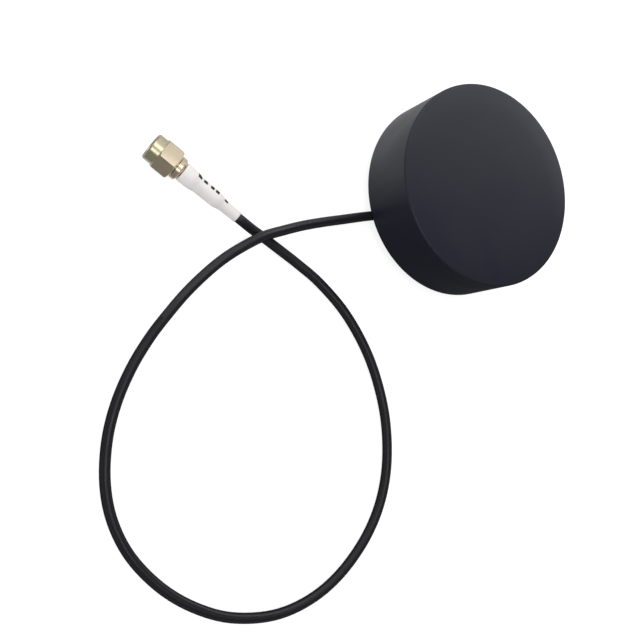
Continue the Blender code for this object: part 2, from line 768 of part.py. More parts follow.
def build_plug_rings(frame):
    """The gasket and the snap ring inside the nut."""
    sleeve = SLEEVE_DIAMETER / 2 + FIT / 2
    gasket_outer = NUT_BORE / 2 - FIT
    gasket = ring(gasket_outer, sleeve, FLANGE_DEPTH - GASKET_SECTION, FLANGE_DEPTH)
    turned("nut_gasket", gasket, PLUG_SIDES, "silicone", frame)
    back = groove_back - FIT / 2
    snap = ring(RING_DIAMETER / 2, RING_GROOVE_DIAMETER / 2 + FIT / 2, back - RING_THICKNESS, back)
    snap_ring = turned("snap_ring", snap, PLUG_SIDES, "copper", frame)
    slit = block((-0.5 * MM, 0, groove_front - 1 * MM), (0.5 * MM, RING_DIAMETER, groove_back + 1 * MM))
    combine(snap_ring, add_mesh("snap_ring_slit", slit, parent=frame))


def build_crimp(frame):
    """The crimp ferrule on the stem, and the white shrink sleeve over it."""
    mouth = FERRULE_DIAMETER / 2
    crimp = FERRULE_CRIMP_DIAMETER / 2
    crimp_front = ferrule_front + FERRULE_MOUTH
    bore = FERRULE_BORE / 2
    ferrule = [
        (bore, ferrule_back), (crimp, ferrule_back), (crimp, crimp_front + 0.6 * MM),
        (mouth, crimp_front), (mouth, ferrule_front), (bore, ferrule_front),
    ]
    turned("crimp_ferrule", ferrule, PLUG_SIDES, "pale gold", frame)

    tail = CABLE_DIAMETER / 2 + FIT
    inner = [
        (tail, shrink_back),
        (tail + FIT, ferrule_back + SHRINK_TRANSITION),
        (crimp + FIT, ferrule_back + GAP),
        (crimp + FIT, crimp_front + SHRINK_TRANSITION),
        (mouth + FIT, crimp_front + GAP),
        (mouth + FIT, shrink_front),
    ]
    outer = [(radius + SHRINK_WALL, depth) for radius, depth in inner]
    turned("heat_shrink_sleeve", outer + inner[::-1], PLUG_SIDES, "white sleeve", frame)


def cable_points():
    """The lead's whole route: up from the foot to the board, and out along the surface to the plug."""
    turn = arc((relief_back(), exit_height + cable_bend()), cable_bend(), 0, -90, 4)
    inside = [Vector((0, y, z)) for y, z in turn]
    depths = (shrink_back + 1.5 * MM, shrink_back, shrink_back - 3 * MM, ferrule_back, cable_end_depth)
    in_plug = [plug_point(depth) for depth in depths]
    return inside + [Vector((0, -foot_radius, exit_height))] + CABLE_ROUTE + in_plug


def smooth_route(points, steps):
    """Points on a smooth curve through the given ones, with the same number in each span."""
    ends = [points[0] * 2 - points[1]] + points + [points[-1] * 2 - points[-2]]
    route = []
    for before, start, end, after in zip(ends, ends[1:], ends[2:], ends[3:]):
        for i in range(steps):
            t = i / steps
            route.append(0.5 * (
                2 * start
                + (end - before) * t
                + (2 * before - 5 * start + 4 * end - after) * t * t
                + (3 * start - before - 3 * end + after) * t * t * t
            ))
    return route + [points[-1]]


def build_cable():
    """The coaxial lead, one piece from the board to the plug."""
    route = smooth_route(cable_points(), ROUTE_STEPS)
    curve = bpy.data.curves.new("coax_cable", "CURVE")
    curve.dimensions = "3D"
    curve.bevel_depth = CABLE_DIAMETER / 2
    curve.bevel_resolution = 2
    curve.use_fill_caps = True
    spline = curve.splines.new("POLY")
    spline.points.add(len(route) - 1)
    for point, place in zip(spline.points, route):
        point.co = (*place, 1)
    add_object("coax_cable", curve, "cable jacket")


def main():
    build_cover()
    build_base()
    build_seals()
    build_screws()
    build_board()
    build_patch()
    build_amplifier()
    build_relief()
    build_cable_end()
    frame = build_plug_frame()
    build_nut(frame)
    build_plug_body(frame)
    build_plug_rings(frame)
    build_crimp(frame)
    build_cable()


clear_scene()
antenna = new_collection("gps_antenna")
cutters = new_collection("cutters")
main()
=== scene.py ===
"""Looks for a round GPS antenna: a puck on a foam foot, its coaxial lead and its screw-on plug.

Every piece is made in the frame of the packed model, in metres, and rides on one of its bodies.
"""

import json
import math

import bmesh
import bpy
from bpy.props import FloatProperty, FloatVectorProperty, IntProperty, PointerProperty
from bpy.types import Operator, Panel, PropertyGroup
from mathutils import Matrix, Vector


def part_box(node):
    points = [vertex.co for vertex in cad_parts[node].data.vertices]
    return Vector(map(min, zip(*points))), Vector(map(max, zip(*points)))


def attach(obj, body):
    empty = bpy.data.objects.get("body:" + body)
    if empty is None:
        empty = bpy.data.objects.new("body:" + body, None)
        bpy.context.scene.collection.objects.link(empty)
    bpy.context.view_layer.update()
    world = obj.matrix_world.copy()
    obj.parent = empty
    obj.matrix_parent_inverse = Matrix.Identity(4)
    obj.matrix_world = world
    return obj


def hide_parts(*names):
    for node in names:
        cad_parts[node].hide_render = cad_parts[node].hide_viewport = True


bl_info = {
    "name": "GPS Antenna",
    "version": (1, 0, 0),
    "blender": (4, 5, 0),
    "location": "View3D > Sidebar > GPS Antenna",
    "description": "Models and finishes a round GPS antenna on its packed frame",
    "category": "Object",
}

MM = 0.001

# Corners closer than this are welded into one
WELD = 0.0001 * MM

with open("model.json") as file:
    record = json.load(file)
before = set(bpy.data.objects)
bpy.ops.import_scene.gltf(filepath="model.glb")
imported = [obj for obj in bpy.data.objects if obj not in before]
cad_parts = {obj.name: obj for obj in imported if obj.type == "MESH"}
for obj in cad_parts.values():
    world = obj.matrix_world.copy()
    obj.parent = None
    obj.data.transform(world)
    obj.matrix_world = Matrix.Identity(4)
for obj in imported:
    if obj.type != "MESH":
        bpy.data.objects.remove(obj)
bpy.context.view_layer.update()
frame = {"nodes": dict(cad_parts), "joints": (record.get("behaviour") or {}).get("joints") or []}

# What the packed model gives: the cover, its seal, the foam pad, the lead's relief and the plug's axis
cover_low, cover_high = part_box("radome_cover")
seal_low, seal_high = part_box("base_gasket")
pad_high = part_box("foot_pad")[1]
relief_low, relief_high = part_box("strain_relief")
nut_joint = frame["joints"][0]
nut_front = Vector(nut_joint["pos_m"])
plug_axis = -Vector(nut_joint["axis"]).normalized()

# The lead's height where it leaves the foot, and the radius of its turn up to the board
EXIT_HEIGHT = 1.95 * MM
LEAD_TURN = 6.15 * MM

# The lead's route outside the puck, from the foot to the plug
LEAD_ROUTE = [
    Vector(point)
    for point in (
        (0.0, -0.0275, 0.00195),
        (-0.0004, -0.0323, 0.0020),
        (-0.0008, -0.0398, 0.00235),
        (-0.0011, -0.0463, 0.0031),
        (-0.0012, -0.0537, 0.00405),
        (-0.0009, -0.0609, 0.00495),
        (-0.0005, -0.0667, 0.00545),
        (0.0006, -0.0720, 0.00535),
        (0.0026, -0.0785, 0.0047),
        (0.0052, -0.0842, 0.00345),
        (0.0091, -0.0910, 0.0022),
        (0.0136, -0.0975, 0.0015),
        (0.0183, -0.1037, 0.0014),
        (0.0245, -0.1103, 0.0014),
        (0.0320, -0.1163, 0.0014),
        (0.0402, -0.1208, 0.0014),
        (0.0498, -0.1238, 0.0014),
        (0.0591, -0.1244, 0.0014),
        (0.0686, -0.1224, 0.0014),
        (0.0782, -0.1174, 0.0014),
        (0.0861, -0.1106, 0.0014),
        (0.0925, -0.1019, 0.0014),
        (0.0966, -0.0907, 0.0014),
        (0.0970, -0.0797, 0.0014),
        (0.0942, -0.0691, 0.0014),
        (0.0883, -0.0589, 0.0014),
        (0.0807, -0.0511, 0.0014),
        (0.0712, -0.0455, 0.0014),
        (0.0597, -0.0421, 0.0014),
        (0.0485, -0.0412, 0.0014),
        (0.0372, -0.0423, 0.0014),
        (0.0254, -0.0459, 0.0014),
        (0.0154, -0.0515, 0.0014),
        (0.0086, -0.0570, 0.0015),
        (0.0036, -0.0617, 0.00185),
        (-0.0001, -0.0654, 0.0024),
        (-0.0032, -0.0688, 0.0031),
    )
]

# The lead's last points, as depths behind the nut's front face: beyond the sleeve, along it, and its end
LEAD_IN_PLUG = (30.4 * MM, 28.9 * MM, 25.9 * MM, 21.0 * MM, 13.5 * MM)

# The camera that matches the photograph, which is close to the object and rolled
CAMERA_PLACE = Vector((0.01929, -0.17324, 0.20822))
CAMERA_RIGHT = Vector((0.25337, 0.83563, 0.48736))
CAMERA_UP = Vector((-0.96714, 0.23175, 0.10458))

# The printed strokes: depth behind the nut's front, half length and slant, in millimetres
STROKES = (
    (14.5, 0.66, 0.5),
    (16.5, 0.62, 0.2),
    (18.8, 0.56, 0.2),
    (20.5, 0.58, 0.1),
    (23.8, 0.56, 0.0),
)

# Where the strokes stand round the sleeve, and how far they reach to each side, in radians
STROKE_ANGLE = math.radians(56)
STROKE_REACH = 0.30

# The tent that the plug's metal mirrors: its arc, and its level at angles from its low far edge over the top
TENT_ARC = math.radians(215)
TENT_BANDS = (
    (0, 0.36), (52, 0.36), (58, 0.43), (70, 0.45), (75, 1.00), (96, 1.00), (101, 0.36), (115, 0.32),
    (120, 0.95), (134, 0.95), (142, 0.15), (215, 0.135),
)


# Settings


def size(name, description, default):
    """A size in metres."""
    return FloatProperty(
        name=name, description=description, default=default, min=0, precision=5,
        unit="LENGTH", subtype="DISTANCE",
    )


def paint(name, description, default):
    """A colour."""
    return FloatVectorProperty(
        name=name, description=description, default=default, min=0, max=1, size=3, subtype="COLOR"
    )


def amount(name, description, default):
    """A plain number that is never below zero."""
    return FloatProperty(name=name, description=description, default=default, min=0)


class PuckSettings(PropertyGroup):
    """Sizes and colours of the puck"""

    radius: size("Radius", "From the puck's middle to its side", cover_high.x)
    edge_round: size("Edge Round", "Round between the face and the side", 0.6 * MM)
    crown_flat: size("Flat Middle", "Radius of the flat middle of the face", 22 * MM)
    crown_drop: size("Crown", "Fall of the face from its flat middle to its edge", 0.20 * MM)
    wall: size("Wall", "Thickness of the cover's side", 2.5 * MM)
    lip: size("Lip", "Thickness of the cover's rim beside the base", 1.4 * MM)
    top: size("Top", "Thickness of the cover's top", 2.4 * MM)
    cover_colour: paint("Cover", "Colour of the cover", (0.0080, 0.0090, 0.0185))
    base_colour: paint("Base", "Colour of the base plate", (0.020, 0.020, 0.022))
    foam_colour: paint("Foam", "Colour of the foam pad", (0.050, 0.050, 0.053))


class LeadSettings(PropertyGroup):
    """Size and colour of the lead"""

    diameter: size("Diameter", "Across the lead's jacket", 2.8 * MM)
    length: size("Length", "From the board to the lead's end in the plug", 360 * MM)
    jacket_colour: paint("Jacket", "Colour of the lead's jacket", (0.0079, 0.0079, 0.0110))


class PlugSettings(PropertyGroup):
    """Sizes and colours of the plug"""

    flats: size("Across Flats", "Across the nut's flats", 8 * MM)
    nut_length: size("Nut Length", "Length of the coupling nut", 7.8 * MM)
    collar_length: size("Collar Length", "Length of the nut's round front", 2.7 * MM)
    collar_radius: size("Collar Radius", "Radius of the nut's round front", 3.8 * MM)
    bore_radius: size("Bore Radius", "Radius at the root of the nut's thread", 3.14 * MM)
    thread_pitch: size("Thread Pitch", "Pitch of the nut's thread", 0.706 * MM)
    thread_depth: size("Thread Depth", "Height of the nut's thread", 0.29 * MM)
    plating: paint("Plating", "Colour of the plated brass", (0.70, 0.60, 0.455))
    gold: paint("Gold", "Colour of the centre pin", (0.90, 0.66, 0.30))
    sleeve_colour: paint("Sleeve", "Colour of the shrink sleeve", (0.80, 0.765, 0.76))
    ink_colour: paint("Ink", "Colour of the strokes on the sleeve", (0.006, 0.006, 0.006))
    strokes: IntProperty(name="Strokes", description="Printed strokes on the sleeve", default=5, min=0, max=5)


class StudioSettings(PropertyGroup):
    """Light and camera"""

    key: amount("Key", "Power of the light on the plug's side", 0.62)
    rim: amount("Rim", "Power of the light behind the puck", 0.25)
    top: amount("Top", "Power of the light overhead, which runs along the lead", 0.58)
    edge: amount("Edge", "Power of the low light beyond the puck", 0.15)
    fill: amount("Fill", "Power of the light on the camera's side", 0.75)
    room: amount("Room", "Light from all round", 0.38)
    lens: FloatProperty(name="Lens", description="Focal length on a 36 mm sensor", default=47.81, min=1)


# Shapes


def finished_mesh(name, shape):
    """The mesh of a bmesh, which is freed."""
    mesh = bpy.data.meshes.new(name)
    shape.to_mesh(mesh)
    shape.free()
    return mesh


def in_scene(name, data):
    """An object in the scene with its mesh, curve, lamp or camera."""
    made = bpy.data.objects.new(name, data)
    bpy.context.scene.collection.objects.link(made)
    return made


def new_piece(name, shape, body, replaced=()):
    """Makes a piece from a bmesh, frees the bmesh, and puts the piece on its body."""
    piece = in_scene(name, finished_mesh(name, shape))
    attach(piece, body)
    if replaced:
        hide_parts(*replaced)
    return piece


def turned(section, steps):
    """A bmesh turned about Z from (radius, height) points. One with an end off the axis becomes a ring."""
    shape = bmesh.new()
    verts = [shape.verts.new((radius, 0, height)) for radius, height in section]
    edges = [shape.edges.new(pair) for pair in zip(verts, verts[1:])]
    if section[0][0] > 0 or section[-1][0] > 0:
        edges.append(shape.edges.new((verts[-1], verts[0])))
    bmesh.ops.spin(
        shape, geom=verts + edges, axis=(0, 0, 1), cent=(0, 0, 0), angle=math.tau, steps=steps, use_merge=True
    )
    bmesh.ops.remove_doubles(shape, verts=shape.verts, dist=WELD)
    bmesh.ops.recalc_face_normals(shape, faces=shape.faces)
    return shape


def in_mm(*points):
    """Points that are written in millimetres."""
    return [(radius * MM, height * MM) for radius, height in points]


def block(low, high):
    """A bmesh box between two corners."""
    low, high = Vector(low), Vector(high)
    shape = bmesh.new()
    bmesh.ops.create_cube(shape, size=1)
    bmesh.ops.scale(shape, vec=high - low, verts=shape.verts)
    bmesh.ops.translate(shape, vec=(low + high) / 2, verts=shape.verts)
    return shape


def join(shape, other):
    """Adds another bmesh to a bmesh, and frees the other."""
    mesh = finished_mesh("joined", other)
    shape.from_mesh(mesh)
    bpy.data.meshes.remove(mesh)


def merged_copy(name):
    """A bmesh copy of a packed node, with its loose triangles joined."""
    shape = bmesh.new()
    shape.from_mesh(frame["nodes"][name].data)
    bmesh.ops.remove_doubles(shape, verts=shape.verts, dist=WELD)
    return shape


def arc(centre, radius, start, end, count):
    """Points on a round, from the start angle to the end angle in degrees."""
    angles = [math.radians(start + (end - start) * i / count) for i in range(count + 1)]
    return [(centre[0] + radius * math.cos(a), centre[1] + radius * math.sin(a)) for a in angles]


def sharp_edges(shape, degrees):
    """The edges of a bmesh whose faces meet at more than an angle."""
    limit = math.radians(degrees)
    return [edge for edge in shape.edges if edge.is_manifold and edge.calc_face_angle() > limit]


def soften(shape, degrees, offset, segments=3):
    """Rounds the edges of a bmesh that are sharper than an angle."""
    bmesh.ops.bevel(
        shape, geom=sharp_edges(shape, degrees), offset=offset, segments=segments, profile=0.5,
        affect="EDGES", material=-1, clamp_overlap=True,
    )


def smooth(piece, degrees=40):
    """Shades a piece smooth between its sharp edges, and keeps its flat faces flat."""
    shape = bmesh.new()
    shape.from_mesh(piece.data)
    for face in shape.faces:
        face.smooth = True
    for edge in sharp_edges(shape, degrees):
        edge.smooth = False
    shape.to_mesh(piece.data)
    shape.free()
    piece.modifiers.new("Flat Faces", "WEIGHTED_NORMAL").keep_sharp = True
    apply_modifiers(piece)


def apply_modifiers(piece):
    """Keeps the result of a piece's modifiers as its mesh."""
    bpy.context.view_layer.update()
    graph = bpy.context.evaluated_depsgraph_get()
    mesh = bpy.data.meshes.new_from_object(piece.evaluated_get(graph))
    piece.modifiers.clear()
    old = piece.data
    piece.data = mesh
    bpy.data.meshes.remove(old)


def cut(piece, shape):
    """Cuts a bmesh shape out of a piece."""
    cutter = in_scene("cutter", finished_mesh("cutter", shape))
    piece.modifiers.new("Cut", "BOOLEAN").object = cutter
    apply_modifiers(piece)
    bpy.data.meshes.remove(cutter.data)


def plug_frame():
    """The matrix that lays a piece made along Z on the plug's axis, with its Y upwards."""
    side = Vector((0, 0, 1)).cross(plug_axis).normalized()
    up = plug_axis.cross(side)
    matrix = Matrix((side, up, plug_axis)).transposed().to_4x4()
    matrix.translation = nut_front
    return matrix


def on_plug(shape):
    """Lays a bmesh on the plug's axis."""
    bmesh.ops.transform(shape, matrix=plug_frame(), verts=shape.verts)
    return shape


def smooth_route(points, steps):
    """Points on a smooth curve through the given ones, with the same number in each span."""
    ends = [points[0] * 2 - points[1]] + points + [points[-1] * 2 - points[-2]]
    route = []
    for before, start, end, after in zip(ends, ends[1:], ends[2:], ends[3:]):
        for i in range(steps):
            t = i / steps
            route.append(0.5 * (
                2 * start
                + (end - before) * t
                + (2 * before - 5 * start + 4 * end - after) * t * t
                + (3 * start - before - 3 * end + after) * t * t * t
            ))
    return route + [points[-1]]


def lead_route():
    """Points on the lead's centreline, from the board to the plug."""
    turn = arc((relief_high.y, EXIT_HEIGHT + LEAD_TURN), LEAD_TURN, 0, -90, 4)
    inside = [Vector((0, y, z)) for y, z in turn]
    foot = [Vector((0, relief_low.y, EXIT_HEIGHT))]
    in_plug = [nut_front + plug_axis * depth for depth in LEAD_IN_PLUG]
    return smooth_route(inside + foot + LEAD_ROUTE + in_plug, steps=6)


# Node helpers


def connect(tree, value, target):
    """Links a socket to an input, or sets the input to a value."""
    if isinstance(value, bpy.types.NodeSocket):
        tree.links.new(value, target)
    else:
        target.default_value = value


def node(tree, kind, inputs=None, **options):
    """Adds a shader node with its options and inputs."""
    made = tree.nodes.new("ShaderNode" + kind)
    for option, value in options.items():
        setattr(made, option, value)
    for name, value in (inputs or {}).items():
        connect(tree, value, made.inputs[name])
    return made


def math_node(tree, operation, *values):
    """The result of a sum on sockets or numbers."""
    return node(tree, "Math", dict(enumerate(values)), operation=operation).outputs[0]


def spread(tree, value, low, high, start=0.0, end=1.0):
    """Spreads a value that runs from start to end over low to high."""
    inputs = {"Value": value, "From Min": start, "From Max": end, "To Min": low, "To Max": high}
    return node(tree, "MapRange", inputs, interpolation_type="SMOOTHSTEP").outputs[0]


def blend_colours(tree, factor, first, second):
    """A colour between two, where each is a socket or three numbers."""
    mix = node(tree, "Mix", data_type="RGBA")
    connect(tree, factor, mix.inputs[0])
    for value, target in ((first, mix.inputs[6]), (second, mix.inputs[7])):
        connect(tree, value if isinstance(value, bpy.types.NodeSocket) else (*value, 1), target)
    return mix.outputs[2]


def seen_directly(tree, path):
    """One for rays from the camera, also through glass, and zero for all others."""
    return math_node(tree, "MAXIMUM", path["Is Camera Ray"], path["Is Transmission Ray"])


def close_to(tree, distance, reach, blur):
    """One within a reach to either side and zero beyond it, with a soft edge."""
    return spread(tree, math_node(tree, "ABSOLUTE", distance), 1.0, 0.0, reach - blur, reach + blur)


def shade(colour, factor):
    """The same colour, lighter or darker."""
    return tuple(min(1.0, part * factor) for part in colour)


def bump(tree, height, distance):
    """The normal of a surface with a fine height."""
    return node(tree, "Bump", {"Height": height, "Distance": distance, "Strength": 1.0}).outputs["Normal"]


def new_group(name, inputs, outputs):
    """A node group with its named sockets, and the sockets that it reads and fills inside."""
    tree = bpy.data.node_groups.new(name, "ShaderNodeTree")
    for socket, default in inputs.items():
        kind = "NodeSocketVector" if default is None else "NodeSocketFloat"
        made = tree.interface.new_socket(socket, in_out="INPUT", socket_type=kind)
        if default is not None:
            made.default_value = default
    for socket, kind in outputs.items():
        tree.interface.new_socket(socket, in_out="OUTPUT", socket_type="NodeSocket" + kind)
    return tree, tree.nodes.new("NodeGroupInput").outputs, tree.nodes.new("NodeGroupOutput").inputs


def moulded_grain():
    """Spark-eroded grain of a moulded surface."""
    tree, given, result = new_group(
        "Moulded Grain", {"Vector": None, "Cell": 0.3 * MM, "Depth": 0.01 * MM}, {"Normal": "Vector"}
    )
    density = math_node(tree, "DIVIDE", 1.0, given["Cell"])
    inputs = {"Vector": given["Vector"], "Scale": density, "Detail": 3.0, "Roughness": 0.6}
    grain = node(tree, "TexNoise", inputs).outputs["Fac"]
    tree.links.new(bump(tree, grain, given["Depth"]), result["Normal"])
    return tree


def handling():
    """Faint smudges and specks of dust."""
    tree, given, result = new_group(
        "Handling", {"Vector": None, "Size": 12 * MM}, {"Smudge": "Float", "Dust": "Float"}
    )
    density = math_node(tree, "DIVIDE", 1.0, given["Size"])
    inputs = {"Vector": given["Vector"], "Scale": density, "Detail": 4.0, "Distortion": 0.6}
    broad = node(tree, "TexNoise", inputs).outputs["Fac"]
    tree.links.new(spread(tree, broad, 0.0, 1.0, 0.35, 0.7), result["Smudge"])
    inputs = {"Vector": given["Vector"], "Scale": math_node(tree, "MULTIPLY", density, 60.0), "Detail": 2.0}
    specks = node(tree, "TexNoise", inputs).outputs["Fac"]
    tree.links.new(spread(tree, specks, 0.0, 1.0, 0.68, 0.76), result["Dust"])
    return tree


def turned_lines():
    """Tool lines of a lathe, round an axis along Z."""
    tree, given, result = new_group(
        "Turned Lines", {"Vector": None, "Spacing": 0.06 * MM, "Depth": 0.002 * MM},
        {"Lines": "Float", "Normal": "Vector"},
    )
    parts = node(tree, "SeparateXYZ", {0: given["Vector"]}).outputs
    flat = node(tree, "CombineXYZ", {"X": parts["X"], "Y": parts["Y"]}).outputs[0]
    radius = node(tree, "VectorMath", {0: flat}, operation="LENGTH").outputs["Value"]
    along = math_node(tree, "ADD", parts["Z"], radius)
    steps = math_node(tree, "DIVIDE", along, given["Spacing"])
    inputs = {"W": steps, "Scale": 1.0, "Detail": 3.0}
    lines = node(tree, "TexNoise", inputs, noise_dimensions="1D").outputs["Fac"]
    tree.links.new(lines, result["Lines"])
    tree.links.new(bump(tree, lines, given["Depth"]), result["Normal"])
    return tree


def effect(tree, builder, **inputs):
    """Places a node group, built the first time, and gives its outputs."""
    made = tree.nodes.new("ShaderNodeGroup")
    made.node_tree = bpy.data.node_groups.get(builder.__name__.replace("_", " ").title()) or builder()
    for socket, value in inputs.items():
        connect(tree, value, made.inputs[socket.title()])
    return made.outputs


# Materials


def new_material(name, roughness, metallic=0.0):
    """A material, with its tree, its shader's inputs and its Object coordinates."""
    material = bpy.data.materials.new(name)
    material.use_nodes = True
    tree = material.node_tree
    shader = tree.nodes["Principled BSDF"].inputs
    shader["Roughness"].default_value = roughness
    shader["Metallic"].default_value = metallic
    place = node(tree, "TexCoord").outputs["Object"]
    return material, tree, shader, place


def give(piece, material):
    """Puts one material on a piece."""
    piece.data.materials.clear()
    piece.data.materials.append(material)


def moulded(name, colour, roughness, cell=0.3 * MM, depth=0.006 * MM, smudge=12 * MM, specular=0.5):
    """Moulded plastic, rubber or ceramic, with grain, faint smudges and a little dust."""
    material, tree, shader, place = new_material(name, roughness)
    shader["Specular IOR Level"].default_value = specular
    grain = effect(tree, moulded_grain, vector=place, cell=cell, depth=depth)
    wear = effect(tree, handling, vector=place, size=smudge)
    tone = blend_colours(tree, wear["Smudge"], shade(colour, 0.95), shade(colour, 1.08))
    speck = math_node(tree, "MULTIPLY", wear["Dust"], 0.3)
    tree.links.new(blend_colours(tree, speck, tone, shade(colour, 1.8)), shader["Base Color"])
    tree.links.new(spread(tree, wear["Smudge"], roughness + 0.03, roughness - 0.04), shader["Roughness"])
    tree.links.new(grain["Normal"], shader["Normal"])
    return material


def plug_place(tree, place):
    """Coordinates along the plug: Z from the nut's front face along the axis, and Y up."""
    back = plug_frame().inverted()
    inputs = {"Vector": place, "Location": back.translation, "Rotation": back.to_euler()}
    return node(tree, "Mapping", inputs).outputs[0]


def plated(name, colour, roughness, spacing=0.07 * MM, depth=0.0010 * MM):
    """Turned and plated metal, with its tool lines round the plug's axis."""
    material, tree, shader, place = new_material(name, roughness, 1.0)
    lines = effect(tree, turned_lines, vector=plug_place(tree, place), spacing=spacing, depth=depth)
    wear = effect(tree, handling, vector=place, size=3 * MM)
    tree.links.new(blend_colours(tree, wear["Smudge"], colour, shade(colour, 0.92)), shader["Base Color"])
    uneven = math_node(tree, "ADD", math_node(tree, "MULTIPLY", lines["Lines"], 0.5), wear["Smudge"])
    tree.links.new(spread(tree, uneven, roughness - 0.03, roughness + 0.06, 0.0, 1.5), shader["Roughness"])
    tree.links.new(lines["Normal"], shader["Normal"])
    return material


def foam(name, colour):
    """Closed-cell foam."""
    material, tree, shader, place = new_material(name, 0.9)
    cells = node(tree, "TexVoronoi", {"Vector": place, "Scale": 3200.0}).outputs["Distance"]
    tree.links.new(blend_colours(tree, cells, shade(colour, 0.75), shade(colour, 1.3)), shader["Base Color"])
    tree.links.new(bump(tree, cells, 0.03 * MM), shader["Normal"])
    return material


def printed_sleeve(name, colour, ink, strokes):
    """Shrunk plastic with short strokes of ink that spell nothing."""
    material, tree, shader, place = new_material(name, 0.42)
    shader["Specular IOR Level"].default_value = 0.22
    shader["Subsurface Weight"].default_value = 0.15
    shader["Subsurface Radius"].default_value = (1.0, 0.95, 0.92)
    shader["Subsurface Scale"].default_value = 2 * MM
    local = plug_place(tree, place)
    parts = node(tree, "SeparateXYZ", {0: local}).outputs
    angle = math_node(tree, "ARCTAN2", parts["Y"], parts["X"])
    turn = math_node(tree, "SUBTRACT", angle, STROKE_ANGLE)
    within = close_to(tree, turn, STROKE_REACH, blur=0.04)
    wear = effect(tree, handling, vector=place, size=3.5 * MM)
    tone = blend_colours(tree, wear["Smudge"], colour, shade(colour, 0.95))
    for depth, half_length, slant in STROKES[:strokes]:
        centre = math_node(tree, "MULTIPLY_ADD", turn, slant * MM, depth * MM)
        offset = math_node(tree, "SUBTRACT", parts["Z"], centre)
        along = close_to(tree, offset, half_length * MM, blur=0.05 * MM)
        tone = blend_colours(tree, math_node(tree, "MULTIPLY", along, within), tone, ink)
    tree.links.new(tone, shader["Base Color"])
    ripples = node(tree, "TexNoise", {"Vector": place, "Scale": 500.0, "Detail": 2.0}).outputs["Fac"]
    tree.links.new(bump(tree, ripples, 0.08 * MM), shader["Normal"])
    return material


# Operators


